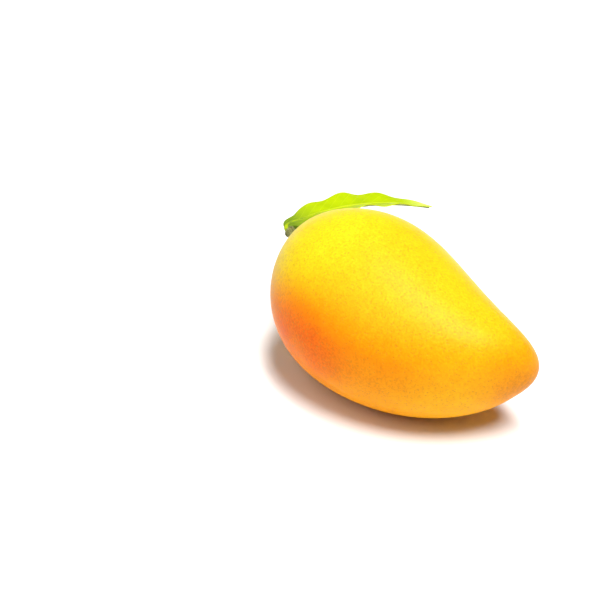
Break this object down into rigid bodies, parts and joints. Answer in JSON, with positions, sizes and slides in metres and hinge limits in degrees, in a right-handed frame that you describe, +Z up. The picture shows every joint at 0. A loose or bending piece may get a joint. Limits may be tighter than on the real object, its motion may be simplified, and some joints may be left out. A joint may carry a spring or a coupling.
{
  "type": "mango",
  "caption": "Ripe yellow mango lying on its cheek, a smooth bowed egg shape with a blunt beak, a short woody stalk and a folded green leaf.",
  "frame": {"origin": "middle of the small flat spot under the cheek, on which the fruit rests", "axes": "+X along the fruit from the stalk to the beak, +Y to the side the beak bows to, +Z up"},
  "size_m": [0.1373, 0.1, 0.0674],
  "materials": {
    "skin": "satin, waxy",
    "bark": "matt",
    "foliage": "satin"
  },
  "bodies": {
    "root": {"fruit": "skin", "stem": "bark", "leaf": "foliage"}
  },
  "joints": []
}
